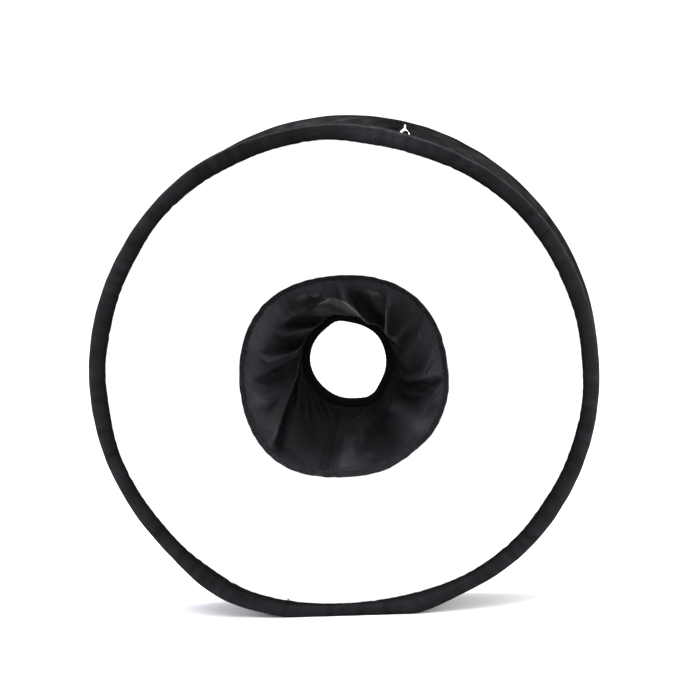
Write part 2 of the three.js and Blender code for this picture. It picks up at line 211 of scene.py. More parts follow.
def new_object(name, verts, faces, uvs=None):
    mesh = bpy.data.meshes.new(name)
    mesh.from_pydata(verts, [], faces)
    if uvs is not None:
        layer = mesh.uv_layers.new(name="weave")
        layer.data.foreach_set("uv", np.asarray(uvs, np.float32).ravel())
    mesh.polygons.foreach_set("use_smooth", [True] * len(mesh.polygons))
    mesh.update()
    obj = bpy.data.objects.new(name, mesh)
    scene.collection.objects.link(obj)
    return obj


def grid(name, points, wrap_u=False, wrap_v=False, caps=False, flip=False):
    """A sheet, tube or ring of quads through points[u][v]. Its weave map is the cloth's own millimetres,
    along u and along v. caps closes the two ends of a tube whose rings are points[u]."""
    points = np.asarray(points, float)
    nu, nv = points.shape[:2]
    u = np.arange(nu if wrap_u else nu - 1)
    v = np.arange(nv if wrap_v else nv - 1)
    uu, vv = np.meshgrid(u, v, indexing="ij")
    corners = [(0, 0), (1, 0), (1, 1), (0, 1)]
    if flip:
        corners.reverse()
    faces = np.stack([((uu + a) % nu) * nv + (vv + b) % nv for a, b in corners], -1).reshape(-1, 4).tolist()
    far = []
    for axis in (0, 1):
        step = np.linalg.norm(np.diff(points, axis=axis), axis=-1).mean(1 - axis)
        far.append(np.concatenate([[0], np.cumsum(np.append(step, step[-1]))]) / MM)
    far_u, far_v = far
    uvs = np.stack([np.stack([far_u[uu + a], far_v[vv + b]], -1) for a, b in corners], 2).reshape(-1, 2)
    uvs = uvs.tolist()
    if caps:
        ends = [list(range(nv)), list(range((nu - 1) * nv, nu * nv))]
        ends[1 if flip else 0].reverse()
        for end in ends:
            faces.append(end)
            uvs += [[0.0, far_v[i % nv]] for i in end]
    return new_object(name, points.reshape(-1, 3).tolist(), faces, uvs)


def mark_tone(obj, values):
    """Keeps how light the cloth is at each of the mesh's points, for a toned look to read."""
    values = np.asarray(values, np.float32)
    obj.data.attributes.new("tone", "FLOAT", "POINT").data.foreach_set("value", values.ravel())


def modified(obj):
    return obj.evaluated_get(bpy.context.evaluated_depsgraph_get())


def applied(obj):
    """obj with its modifiers applied."""
    mesh = bpy.data.meshes.new_from_object(modified(obj))
    obj.modifiers.clear()
    obj.data = mesh
    return obj


def thick(obj, thickness):
    mod = obj.modifiers.new("ply", "SOLIDIFY")
    mod.thickness = thickness
    mod.offset = 0
    return applied(obj)


def spline(points, count):
    """A smooth line of count points through a few control points."""
    p = np.asarray(points, float)
    p = np.vstack([2 * p[0] - p[1], p, 2 * p[-1] - p[-2]])
    at = np.linspace(0, len(points) - 1, count)
    i = np.minimum(at.astype(int), len(points) - 2)
    t = (at - i)[:, None]
    a, b, c, d = p[i], p[i + 1], p[i + 2], p[i + 3]
    bend = (2 * a - 5 * b + 4 * c - d) * t**2 + (3 * b - a - 3 * c + d) * t**3
    return 0.5 * (2 * b + (c - a) * t + bend)


THREAD_SIDES = 6


def thread_rings(side, up):
    """Rings of directions round a thread, one ring for each of its points."""
    turn = turns(THREAD_SIDES)
    return np.cos(turn)[None, :, None] * side[:, None] + np.sin(turn)[None, :, None] * up[:, None]


def thread_faces(rings, start):
    """One thread's faces with its ends closed, its points numbered ring by ring from start."""
    faces = []
    for r in range(rings - 1):
        low = start + r * THREAD_SIDES
        high = low + THREAD_SIDES
        for k in range(THREAD_SIDES):
            beside = (k + 1) % THREAD_SIDES
            faces.append([low + k, low + beside, high + beside, high + k])
    end = start + rings * THREAD_SIDES
    return faces + [list(range(start, start + THREAD_SIDES))[::-1], list(range(end - THREAD_SIDES, end))]


def stitches(name, line, facing, length, width, look, slot, body):
    """A closed row of stitches on a line of points, one for each point, on cloth that faces along Y."""
    along = unit(np.roll(line, -1, 0) - np.roll(line, 1, 0))
    normal = np.array([0.0, facing, 0.0])
    normal = unit(normal - (normal * along).sum(1)[:, None] * along)
    rings = thread_rings(np.cross(along, normal), normal)
    # Each ring of a stitch: how far along it, how fat it is there and how high it lies.
    steps = [(-1, 0.35, -0.7), (-0.75, 0.85, 0.0), (0, 1, 0.35), (0.75, 0.85, 0.0), (1, 0.35, -0.7)]
    verts = []
    for reach, fat, lift in steps:
        centre = line + along * reach * length / 2 + normal * lift * width / 2
        verts.append(centre[:, None] + rings * fat * width / 2)
    verts = np.stack(verts, 1).reshape(-1, 3)
    faces = []
    for i in range(len(line)):
        faces += thread_faces(len(steps), i * len(steps) * THREAD_SIDES)
    return make(new_object(name, verts.tolist(), faces), look, slot, body)


def port_path(count, margin=0.0):
    """Points evenly spaced round the flash port's rounded rectangle, and their outward directions."""
    corner = PORT_CORNER
    width, height = PORT_SIZE[0] + margin, PORT_SIZE[1] + margin
    straight_x, straight_z = width - 2 * corner, height - 2 * corner
    arc = corner * math.pi / 2
    total = 2 * (straight_x + straight_z) + 4 * arc
    points, ways_out = [], []
    for s in np.arange(count) / count * total:
        x, z, turn = -straight_x / 2, height / 2, math.pi / 2
        for length, kind in [(straight_x, 0), (arc, 1), (straight_z, 0), (arc, 1)] * 2:
            step = min(s, length)
            if kind:
                centre = (x - corner * math.cos(turn), z - corner * math.sin(turn))
                turn -= step / corner
                x, z = centre[0] + corner * math.cos(turn), centre[1] + corner * math.sin(turn)
            else:
                x, z = x + step * math.sin(turn), z - step * math.cos(turn)
            s -= step
            if s <= 0:
                break
        points.append((x, z))
        ways_out.append((math.cos(turn), math.sin(turn)))
    return np.array(points), np.array(ways_out)


def around_port(count, out, y, margin=0.0):
    """Points standing out from the flash port's edge by out, at depths y behind the rear hoop's plane."""
    path, ways_out = port_path(count, margin)
    x = path[:, :1] + ways_out[:, :1] * out
    z = path[:, 1:] + ways_out[:, 1:] * out + PORT_HEIGHT
    return np.stack([x, np.broadcast_to(REAR + y, x.shape), z], -1)


# ---- materials


class Nodes:
    """A short way to write a material: each call adds a node, sets its inputs and returns it."""

    def __init__(self, name):
        self.material = bpy.data.materials.new(name)
        self.material.use_nodes = True
        self.tree = self.material.node_tree
        self.shader = self.tree.nodes["Principled BSDF"]

    def add(self, kind, inputs=None, **settings):
        node = self.tree.nodes.new("ShaderNode" + kind)
        for key, value in settings.items():
            setattr(node, key, value)
        self.feed(node, inputs or {})
        return node

    def feed(self, node, inputs):
        """Sets a node's inputs, each to a value or to what another node gives."""
        for key, value in inputs.items():
            if isinstance(value, bpy.types.Node):
                value = value.outputs[0]
            if isinstance(value, bpy.types.NodeSocket):
                self.tree.links.new(value, node.inputs[key])
            else:
                node.inputs[key].default_value = value

    def math(self, operation, a, b=0.0):
        return self.add("Math", {0: a, 1: b}, operation=operation)

    def plus(self, a, b):
        return self.math("ADD", a, b)

    def times(self, a, b):
        return self.math("MULTIPLY", a, b)

    def around_zero(self, noise, height):
        """A noise of 0 to 1 moved to lie round zero and made as high as height."""
        return self.times(self.math("SUBTRACT", noise, 0.5), height)

    def noise(self, where, scale, detail=3.0):
        return self.add("TexNoise", {"Vector": where, "Scale": scale, "Detail": detail})


def thread_height(n, u, v, pitch, twill):
    """Threads over and under each other, about -1 to 1, where u and v are millimetres of cloth."""
    if twill:
        diagonal = n.math("SINE", n.times(n.plus(u, v), ROUND / (2 * pitch)))
        thread = n.math("SINE", n.times(u, ROUND / pitch))
        return n.plus(n.times(diagonal, 0.7), n.times(thread, 0.3))
    warp = n.math("SINE", n.times(u, math.pi / pitch))
    weft = n.math("SINE", n.times(v, math.pi / pitch))
    return n.times(warp, weft)


def cloth(name, dark, light, rough, pitch, depth, fuzz, patch=0.25, twill=False, sheen=0.0, mapped=True,
          metallic=0.0, specular=0.35, toned=False):
    """A woven cloth, between a dark and a light colour. pitch and depth are its threads' spacing and height
    in millimetres, fuzz and patch how strong its nap and worn patches are. A mapped cloth's weave follows
    the mesh. A toned one is lighter or darker by each point's tone, and duller where that is under 1."""
    n = Nodes(name)
    if mapped:
        where = n.add("UVMap", uv_map="weave").outputs[0]
    else:
        place = n.add("TexCoord").outputs["Object"]
        where = n.add("VectorMath", {0: place, 3: 1000.0}, operation="SCALE").outputs[0]
    xyz = n.add("SeparateXYZ", {0: where})
    threads = thread_height(n, xyz.outputs["X"], xyz.outputs["Y" if mapped else "Z"], pitch, twill)
    fine = n.noise(where, 1.1, 4.0)
    speckle = n.noise(where, 0.4, 3.0)
    broad = n.noise(where, 0.05, 4.0)
    nap = n.around_zero(fine, fuzz)
    height = n.plus(n.times(threads, 0.5), n.times(nap, 2.0))
    bump = n.add("Bump", {"Height": height, "Strength": 0.7, "Distance": depth * MM})
    share = n.plus(n.plus(n.times(threads, 0.15), nap), 0.5)
    for worn in (broad, speckle):
        share = n.plus(share, n.around_zero(worn, patch * 3))
    colour = n.add("Mix", {0: share, 6: (*dark, 1), 7: (*light, 1)}, data_type="RGBA", clamp_factor=True)
    roughness = n.plus(n.around_zero(fine, 0.25), rough)
    if toned:
        tone = n.add("Attribute", attribute_name="tone").outputs["Color"]
        both = {0: 1.0, 6: colour.outputs[2], 7: tone}
        colour = n.add("Mix", both, data_type="RGBA", blend_type="MULTIPLY")
        dull = n.add("Math", {0: 1.0, 1: tone}, operation="SUBTRACT", use_clamp=True)
        roughness = n.plus(roughness, n.times(dull, 0.4))
    n.feed(n.shader, {
        "Base Color": colour.outputs[2], "Roughness": roughness, "Normal": bump, "Metallic": metallic,
        "Sheen Weight": sheen, "Sheen Roughness": 0.45, "Specular IOR Level": specular,
    })
    return n


def brushed_steel():
    n = Nodes("spring_steel")
    place = n.add("TexCoord").outputs["Object"]
    streaks = n.add("Mapping", {0: place, 3: (900, 60, 900)}).outputs[0]
    grain = n.noise(streaks, 3.0, 4.0)
    tones = {0: grain, 6: (0.33, 0.34, 0.36, 1), 7: (0.50, 0.51, 0.53, 1)}
    bump = n.add("Bump", {"Height": grain, "Strength": 0.3, "Distance": 0.02 * MM})
    colour = n.add("Mix", tones, data_type="RGBA").outputs[2]
    roughness = n.plus(n.times(grain, 0.3), 0.2)
    n.feed(n.shader, {"Base Color": colour, "Roughness": roughness, "Normal": bump, "Metallic": 1.0})
    return n


# Each cloth's two colours, then its roughness, its threads' pitch and depth, its fuzz and its worn patches.
TAPE_DARK = (0.0032, 0.0032, 0.0037)
TAPE_LIGHT = (0.0108, 0.0108, 0.0124)
TAPE = cloth("black_tape", TAPE_DARK, TAPE_LIGHT, 0.85, 0.9, 0.12, 0.8, 0.3, twill=True, specular=0.06)
RIM_TAPE = cloth("black_rim_tape", TAPE_DARK, TAPE_LIGHT, 0.85, 0.9, 0.14, 0.9, 0.35, twill=True,
                 specular=0.05, toned=True)
# The casing is darker than the tape: partly the casing's own black, partly painted shade for the lens hole's
# deep casing.
CASING = cloth("black_casing", (0.0008, 0.0009, 0.0009), (0.0024, 0.0026, 0.0025), 0.9, 0.7, 0.08, 0.5, 0.2,
               twill=True, specular=0.03)
NYLON = cloth("black_nylon", (0.0016, 0.0018, 0.0023), (0.0040, 0.0044, 0.0054), 0.4, 0.45, 0.03, 0.3,
              specular=0.1)
TUNNEL = cloth("black_tunnel_nylon", (0.0052, 0.0055, 0.0064), (0.0090, 0.0094, 0.0108), 0.4, 0.45, 0.03,
               0.5, 0.15, specular=0.04, toned=True)
WALL = cloth("black_wall_cloth", (0.0022, 0.0022, 0.0024), (0.0140, 0.0140, 0.0148), 0.9, 0.7, 0.1, 1.8, 0.4,
             specular=0.0, toned=True)
WHITE = cloth("white_diffuser", (0.9, 0.9, 0.905), (0.94, 0.94, 0.945), 0.8, 0.5, 0.02, 0.2, 0.1, sheen=0.05)
LINING = cloth("white_lining", (0.88, 0.88, 0.89), (0.93, 0.93, 0.94), 0.7, 0.5, 0.03, 0.2, 0.1, sheen=0.05)
SILVER = cloth("silver_lining", (0.62, 0.63, 0.65), (0.78, 0.79, 0.81), 0.4, 0.6, 0.04, 0.3, 0.2,
               metallic=0.5)
FOAM = cloth("grey_foam", (0.07, 0.072, 0.076), (0.11, 0.112, 0.118), 0.95, 0.8, 0.1, 1.0)
THREAD = cloth("black_thread", (0.008, 0.008, 0.009), (0.035, 0.035, 0.038), 0.5, 0.25, 0.03, 0.3, 0.1,
               twill=True, sheen=0.05, mapped=False, specular=0.3)
CORD = cloth("elastic_cord", (0.01, 0.01, 0.01), (0.035, 0.035, 0.036), 0.7, 0.6, 0.1, 0.4, 0.1, twill=True,
             sheen=0.2, mapped=False)
HOOKS = cloth("hook_and_loop", (0.004, 0.004, 0.004), (0.02, 0.02, 0.021), 0.95, 0.8, 0.35, 1.6, sheen=0.1,
              specular=0.1)
STEEL = brushed_steel()

# Light glows through the thin white cloth.
glow = WHITE.add("BsdfTranslucent", {"Color": (0.95, 0.95, 0.96, 1)})
both = WHITE.add("MixShader", {0: 0.35, 1: WHITE.shader, 2: glow})
WHITE.feed(WHITE.tree.nodes["Material Output"], {"Surface": both})


def make(obj, look, slot, body=None, *nodes):
    """Gives a piece its look and the body it rides on, and hides the CAD nodes it stands for. slot is not
    used.
    """
    obj.data.materials.clear()
    obj.data.materials.append(look.material)
    if nodes:
        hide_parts(*nodes)
    if body:
        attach(obj, body)
    return obj


for name in ("front_hoop", "front_hoop_ferrule", "rear_hoop", "rear_hoop_ferrule", "lens_elastic"):
    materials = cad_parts[name].data.materials
    materials.clear()
    materials.append((CORD if name == "lens_elastic" else STEEL).material)


# ---- rims


def rim_section():
    """The tape's outside from its front lip over the hoop to its rear lip, then back along its inside, as
    radius and y from the hoop's plane: thick over the hoop, thin and stitched down along its inner edge."""
    half = [
        (210.6, -1.05), (211.2, -1.75), (212.4, -1.95), (213.4, -1.7), (214.6, -2.35), (217.5, -3.15),
        (220.6, -3.6), (223.2, -3.05), (224.6, -1.9), (225.0, -0.6),
    ]
    outside = spline(half + [(r, -y) for r, y in reversed(half)], 44)
    inside = [
        (210.9, 0.55), (216.0, 0.55), (220.3, 0.6), (220.4, 2.5), (222.0, 2.8), (223.6, 2.4), (223.8, 0.0),
        (223.6, -2.4), (222.0, -2.8), (220.4, -2.5), (220.3, -0.6), (216.0, -0.55), (210.9, -0.55),
    ]
    return np.vstack([outside, inside]) * MM


def rim_edge_wander(angle, seed):
    return MM * (0.12 * waves(angle, 60, 190, seed + 2) + 0.25 * waves(angle, 5, 24, seed + 3))


# How light the tape is painted, from its inner edge at 0 to its outer edge at 1: painted shade along the
# inner edge, a painted highlight where it turns over the hoop.
PAINTED_LIGHT_AT = [0, 0.1, 0.3, 0.5, 0.78, 0.92, 1]
PAINTED_LIGHT_ROUND_RING = [0.2, 0.45, 0.8, 1, 1.5, 1.7, 0.8]
PAINTED_LIGHT_AT_FOOT = [0.35, 0.9, 1.5, 1.2, 0.9, 0.8, 0.6]
PAINTED_LIGHT_OVER_TOP = [0.25, 0.5, 0.9, 1.1, 1.05, 0.9, 0.8]
# Where the front rim is darker and duller, and with a minus lighter, than the rest: bells with sizes as
# shares.
FRONT_DULL = [(0.3, 345, 28), (-0.9, 13, 9), (0.15, 42, 22)]
PAINTED_HIGHLIGHT_RADIUS = 224.3 * MM
PAINTED_HIGHLIGHT_WIDTH = 0.38 * MM


def rim_painted_light(radius, y, angle, facing, seed):
    """How light the tape is painted: painted shade along its inner edge, a painted highlight where it turns
    over the hoop. At the foot the painted light lies along its inner part instead. One line along the front
    rim's crest is a painted highlight, and the rear rim's outer edge is painted darker round the top."""
    across = (radius - RIM_INNER) / (OUTER - RIM_INNER)
    round_ring = np.interp(across, PAINTED_LIGHT_AT, PAINTED_LIGHT_ROUND_RING)
    at_foot = np.interp(across, PAINTED_LIGHT_AT, PAINTED_LIGHT_AT_FOOT)
    tone = mix(round_ring, at_foot, bell(angle, 172, 28))
    if facing < 0:
        tone = mix(tone, np.interp(across, PAINTED_LIGHT_AT, PAINTED_LIGHT_OVER_TOP), bell(angle, 12, 55))
        tone = tone * (1 - bells(angle, FRONT_DULL) / MM)
        # Painted highlight: one pale line along the front rim's crest.
        crest_highlight = np.exp(-(((radius - PAINTED_HIGHLIGHT_RADIUS) / PAINTED_HIGHLIGHT_WIDTH) ** 2)) * (y * facing > -0.6 * MM)
        tone = tone + 2.9 * crest_highlight * bell(angle, 20, 70)
    else:
        # Painted shade along the rear rim's outer edge round the top.
        tone = tone * (1 - 0.5 * bell(angle, 15, 60) * smooth((across - 0.8) / 0.1))
    return tone * (1 + 0.16 * waves(angle, 30, 140, seed + 6))


def rim(side, plane, facing, body, seed):
    """The tape bound over one hoop, gathered along its inner edge, and the stitches along that edge."""
    angle = turns(1300)[:, None]
    radius, y = rim_section().T[:, None]
    inner = np.clip((HOOP_ZONE - radius) / (HOOP_ZONE - RIM_INNER), 0, 1)
    gathers = waves(angle, 150, 230, seed) * (0.65 + 0.35 * waves(angle, 3, 9, seed + 1))
    slack = MM * (0.16 * gathers * inner + 0.12 * waves(angle, 20, 90, seed + 4))
    round_off = MM * 0.12 * waves(angle, 12, 60, seed + 5) * (1 - inner)
    reach = radius + inner * rim_edge_wander(angle, seed) + round_off
    points = settle(reach, angle, plane + y + np.sign(y) * slack)
    points[..., 2] = np.maximum(points[..., 2], 0)
    tape = grid(f"{side}_rim_tape", points, True, True)
    mark_tone(tape, rim_painted_light(radius, y, angle, facing, seed))
    make(tape, RIM_TAPE, "black_tape", body, f"{side}_rim_binding")
    turn = turns(430)
    from_lip, lies_at = 2.8 * MM, 1.75 * MM
    line = settle(RIM_INNER + from_lip + rim_edge_wander(turn, seed), turn, plane + facing * lies_at)
    stitches(f"{side}_rim_stitching", line, facing, 2.3 * MM, 0.4 * MM, TAPE, "black_tape", body)


rim("front", FRONT, -1, "front_ring", 11)
rim("rear", REAR, 1, "rear_ring", 41)


# ---- side wall with its slit

# How strongly the lining's points crowd towards the slit: 0 spaces them evenly.
LINING_CROWDING = 0.1


def folding_piece(obj, look, slot, node):
    """A piece of the wall or tunnel, riding on the rear ring."""
    make(obj, look, slot, "rear_ring", node)
    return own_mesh(obj)


def slit_half(v):
    """Half the slit's width: an arch at its front round the pull tab, and a narrow stem behind."""
    return mix(SLIT_REAR_HALF, SLIT_FRONT_HALF, np.maximum(0, 1 - (v / SLIT_ARCH) ** 1.8))


def slit_middle(v):
    return SLIT_ANGLE + SLIT_LEAN * v / OUTER


def wall_slack(angle, v):
    """How far the wall's cloth stands off its cylinder: drawn in between the hoops, gathered at its seams."""
    middle = 1 - (2 * v - 1) ** 2
    drawn = (1.4 * bell(angle, SLIT_AT, 60) - 2.0) * middle
    buckles = 0.7 * waves(angle, 9, 40, 71, v, 3.0) * middle
    pleats = 0.35 * waves(angle, 70, 170, 72, v, 5.0) * (1 - 0.6 * middle)
    return MM * (drawn + buckles + pleats * np.minimum(1, 12 * np.minimum(v, 1 - v) + 0.2))


def on_wall(radius, angle, v):
    """Points of the wall, v being 0 at its front edge and 1 at its rear edge."""
    points = settle(radius, angle, mix(WALL_FRONT, WALL_REAR, v))
    return points + outward(angle) * wall_slack(angle, v)[..., None]


def wall_tone(angle, v):
    """The wall's cloth is lighter over the top left of the slit, and has a painted shadow close beside the
    slit, where it is darkest.
    """
    lighter_patches = 0.9 * bell(angle, 356, 11) + 0.35 * bell(angle, 40, 14)
    # Painted shadow: the cloth is darkest just beside the slit.
    beside = 0.6 * bell(angle, 16, 3.0)
    return (1 + lighter_patches - beside) * (1 + 0.2 * waves(angle, 20, 90, 73, v, 6.0))


def turned_under(angle, v):
    """The outer cloth's two edges turn down into the groove beside each rim."""
    hem, down, towards_rim = 0.9 * MM, -1.2 * MM, 0.45 * MM
    from_edge = np.minimum(v, 1 - v) * (WALL_REAR - WALL_FRONT)
    edge = np.exp(-((from_edge / hem) ** 2))
    moved = outward(angle) * (down * edge)[..., None]
    moved[..., 1] = towards_rim * edge * np.sign(v - 0.5)
    return moved


def wall_ply(name, node, radius, thickness, look, slot, inset=0.0):
    """One of the wall's two plies that stop at the slit. A ply that is set in ends short of the rims."""
    u = np.linspace(0, 1, 1100)[:, None]
    v = mix(inset, 1 - inset, 0.5 - 0.5 * np.cos(np.pi * np.linspace(0, 1, 24)))[None]
    edge = (slit_half(v) + SLIT_TAPE + GAP) / OUTER
    angle = slit_middle(v) + edge + u * (ROUND - 2 * edge)
    points = on_wall(radius, angle, v)
    if not inset:
        points = points + turned_under(angle, v)
    sheet = grid(name, points)
    mark_tone(sheet, wall_tone(angle, v))
    return folding_piece(thick(sheet, thickness), look, slot, node)


def white_lining():
    """The lining runs on under the slit, where it stands up into the opening between the slit's tapes. It
    leaves a well in front of that for the pull tab to fold down into."""
    turn = np.arange(1000) / 1000
    angle = (SLIT_ANGLE + ROUND * (turn - LINING_CROWDING * np.sin(ROUND * turn)))[:, None]
    v = np.linspace(0, 1, 44)[None]
    away = np.abs(turn_from(angle, slit_middle(v))) * OUTER
    well_depth, well_half, stands_up, below = 1.8 * MM, 7.5 * MM, 3.3 * MM, 3.5 * MM
    open_part = smooth((v - 0.11) / 0.03) * smooth((0.88 - v) / 0.05)
    well = well_depth * smooth((well_half - away) / (1.5 * MM)) * smooth((0.13 - v) / 0.03)
    stand = stands_up * smooth((slit_half(v) + 0.3 * MM - away) / (0.8 * MM)) * open_part - well
    points = on_wall(WALL_RADIUS - below, angle, v) + outward(angle) * stand[..., None]
    sheet = thick(grid("wall_lining", points, True), 0.5 * MM)
    return folding_piece(sheet, LINING, "white_diffuser", "side_wall_lining")


outer_wall = wall_ply("wall_cloth", "side_wall", WALL_RADIUS - 0.3 * MM, 0.6 * MM, WALL, "black_nylon")
stiffener = wall_ply("wall_foam", "wall_stiffener", WALL_RADIUS - 1.8 * MM, 0.7 * MM, FOAM, "foam", 0.03)
wall_lining = white_lining()


def slit_tape(side, sign):
    """The casing rolled over one of the slit's edges."""
    v = np.linspace(0, 1, 90)[:, None]
    turn = turns(20)[None]
    half_height = 1.3 * MM
    width = squarish(np.cos(turn), 0.6) * SLIT_TAPE / 2
    height = squarish(np.sin(turn), 0.6) * half_height * (1 + 0.06 * waves(v * ROUND, 3, 9, 81))
    middle = sign * (slit_half(v) + SLIT_TAPE / 2)
    angle = slit_middle(v) + (middle + width) / OUTER
    points = on_wall(WALL_RADIUS - 1.1 * MM + height, angle, v + 0 * turn)
    tape = grid(f"slit_tape_{side}", points, False, True, caps=True)
    folding_piece(tape, CASING, "black_tape", f"slit_edge_{side}")


slit_tape("right", 1)
slit_tape("left", -1)


def pull_tab():
    """A rounded tongue of doubled webbing, sewn behind the front rim."""
    low, tip = 221.7 * MM, 226.8 * MM
    half, half_thickness = 2.9 * MM, 0.78 * MM
    height = np.linspace(0, 1, 30)[:, None] ** 0.8
    s = low + (tip - low) * height
    over = np.clip((s - (tip - half)) / half, 0, 1)
    width = half * np.sqrt(np.maximum(1 - over**2, 0.0025))
    turn = turns(28)[None]
    across = squarish(np.cos(turn), 0.5) * width
    deep = squarish(np.sin(turn), 0.5) * half_thickness
    middle = FRONT + RIM_HALF + GAP + 0.8 * MM
    points = settle(s, SLIT_ANGLE + across / s, middle + deep)
    tab = grid("webbing_tab", points, False, True, caps=True)
    make(tab, TAPE, "black_tape", "pull_tab", "pull_tab")


pull_tab()

# ---- diffuser and tunnel


def disc(name, hole, tuck, outer, plane, pucker, seed):
    """A flat ring of cloth whose edges pucker where they are sewn. Its hole's radius at each angle is what
    hole gives plus the tuck."""
    angle = turns(560)[:, None]
    v = np.linspace(0, 1, 44)[None]
    radius = mix(hole(angle) + tuck, outer, v)
    near_rim = np.exp(-(1 - v) * (outer - HOLE_RADIUS) / (9 * MM))
    near_hole = np.exp(-v * (outer - HOLE_RADIUS) / (12 * MM))
    y = plane + pucker * (waves(angle, 60, 150, seed) * near_rim + waves(angle, 30, 80, seed + 1) * near_hole)
    y = y + pucker * 0.8 * waves(angle, 3, 17, seed + 2, v, 4.0) * np.sin(np.pi * v)
    return grid(name, settle(radius, angle, y), True)


diffuser = disc("diffuser_cloth", mouth_radius, -MOUTH_TUCK, CLOTH_EDGE, FRONT, 0.12 * MM, 91)
diffuser = thick(diffuser, 0.5 * MM)
make(diffuser, WHITE, "white_diffuser", "front_ring", "front_diffuser")


def hem_overlap(angle):
    """Where the ends of the tunnel's binding lap over each other."""
    away = turn_from(angle, SEAM_ANGLE) * MOUTH_RADIUS
    return smooth((8 * MM - np.abs(away)) / (1.2 * MM))


def hem_section(outside, count, inside):
    """A hem's section in metres, its smooth outside and then its inside, and which points are outside."""
    section = np.vstack([spline(outside, count), inside]) * MM
    across, y = section.T[:, None]
    return across, y, (np.arange(len(section)) < count)[None]


def front_hem():
    """The binding round the tunnel's mouth, its section given as millimetres inward and behind the hoop."""
    outside = [
        (0, -1.2), (0.3, -1.85), (1.3, -2.0), (2.4, -1.65), (3.5, -1.95), (4.4, -1.1), (4.6, 0.1),
        (4.3, 1.4), (3.3, 2.05), (1.6, 1.9), (0.3, 1.8), (0, 1.2),
    ]
    inside = [(0.1, 0.55), (2.9, 0.6), (2.9, -0.6), (0.1, -0.55)]
    inward, y, outer_part = hem_section(outside, 34, inside)
    angle = turns(760)[:, None]
    lap = hem_overlap(angle) * outer_part * 0.55 * MM
    gathers = 1 + 0.10 * waves(angle, 60, 130, 101) + 0.06 * waves(angle, 9, 30, 102)
    radius = mouth_radius(angle) - inward * gathers - lap * 0.5 + MM * 0.18 * waves(angle, 20, 60, 103)
    points = settle(radius, angle, FRONT + y * (1 + 0.07 * waves(angle, 90, 170, 104)) + np.sign(y) * lap)
    hem = grid("mouth_tape", points, True, True, flip=True)
    # Painted light: the hem is painted lighter towards the bottom, where the light falls on it.
    painted_light_low = bell(angle, 185, 85)
    mark_tone(hem, (0.6 + 1.1 * painted_light_low) * (1 + 0.15 * waves(angle, 20, 90, 105)) + 0 * inward)
    make(hem, RIM_TAPE, "black_tape", "front_ring", "tunnel_front_hem")
    turn = turns(215)
    line = settle(mouth_radius(turn) - 2.35 * MM, turn, FRONT - 1.85 * MM - 0.5 * MM * hem_overlap(turn))
    thread = stitches("mouth_stitching", line, -1, 2.0 * MM, 0.42 * MM, RIM_TAPE, "black_tape", "front_ring")
    # The stitches are painted paler towards the bottom too: a painted highlight.
    pale = 0.8 + 2.6 * bell(turn, 185, 80)
    mark_tone(thread, np.repeat(pale, len(thread.data.vertices) // len(turn)))


front_hem()

# The folds of the slack tunnel: the angle where each starts at the mouth and where it ends at the lens
# hole, from where to where along the cloth, its half width in degrees, its height in millimetres, and the
# side it drops steeply to, 1 for the side of larger angles. A fold of negative height is a crease.
FOLDS = [
    (229, 284, -0.1, 0.98, 6.5, 10, -1), (256, 270, -0.1, 0.6, 10, 4, 1),
    (268, 288, 0.02, 0.8, 2.6, -3, 1), (283, 300, 0.1, 1, 5, 6, 1),
    (298, 338, 0.25, 1, 5, 5.5, 1), (318, 338, -0.1, 0.4, 11, 3, 1),
    (338, 346, 0.12, 0.42, 5, -3, 1), (358, 283, 0.12, 0.45, 3.5, 3, -1),
    (362, 404, 0.05, 0.92, 6.5, 8, 1), (393, 423, 0.05, 0.85, 5, 7, -1),
    (383, 548, 0.2, 0.3, 3, 2.5, 1), (415, 432, 0.1, 0.75, 7, 3.5, 1),
    (451, 470, -0.1, 0.95, 5, 5.5, 1), (475, 486, 0.3, 1, 3, -3.5, 1),
    (485, 500, -0.1, 0.85, 14, 4.5, -1), (534, 498, 0.15, 0.8, 7.5, -4.5, 1),
    (583, 518, 0.68, 1, 4.5, 4, 1), (545, 540, -0.1, 0.5, 9, 3, 1),
    (576, 618, 0.55, 1, 2.4, 1.8, 1), (557, 607, 0.55, 1, 2.4, 1.8, 1),
]
TUNNEL_STEPS = 420
TUNNEL_ROWS = 46
# Each point's angle round the tunnel and its place along the cloth, 0 at the mouth and 1 at the lens hole.
TUNNEL_ANGLES = turns(TUNNEL_STEPS)[:, None]
TUNNEL_PLACES = np.linspace(0, 1, TUNNEL_ROWS)[None]


def tunnel_radius(t):
    """The cone's radius along the cloth; its end turns in a little over the lens hole's casing."""
    return mix(45 * MM, 89.5 * MM, (1 - t) ** 1.15) - 2.6 * MM * smooth((t - 0.92) / 0.08)


def each_fold(angle, t):
    """For each fold its height, how many half widths each point is off it, and how much of it is there."""
    for start, end, begin, finish, width, height, steep in FOLDS:
        line = np.radians(mix(start, end, t**1.8))
        away = turn_from(angle, line) * steep
        spread = np.radians(width) * mix(0.75, 1.25, t)
        reach = smooth((t - begin) / 0.25) * smooth((finish + 0.12 - t) / 0.22)
        yield height, away / spread, reach


def fold_height(angle, t):
    """How far the folds lift the tunnel's cloth towards the viewer."""
    total = 0
    for height, off, reach in each_fold(angle, t):
        lean = np.where(off > 0, 0.6, 1.5)
        ridge = np.exp(-((off / lean) ** 2))
        valley = 0.4 * np.exp(-((off - 1.6) ** 2))
        total = total + height * (ridge - valley) * reach
    return MM * total


def fold_painted_light(angle, t):
    """A painted highlight along each fold's crest and painted shade in the valley beside it."""
    total = 0
    for height, off, reach in each_fold(angle, t):
        crest_highlight = np.exp(-(((off + 0.1) / 0.35) ** 2))
        shade = np.exp(-(((off - 1.1) / 0.7) ** 2))
        total = total + height / 6 * (0.55 * crest_highlight - 0.5 * shade) * reach
    return np.clip(total, -0.65, 0.9)


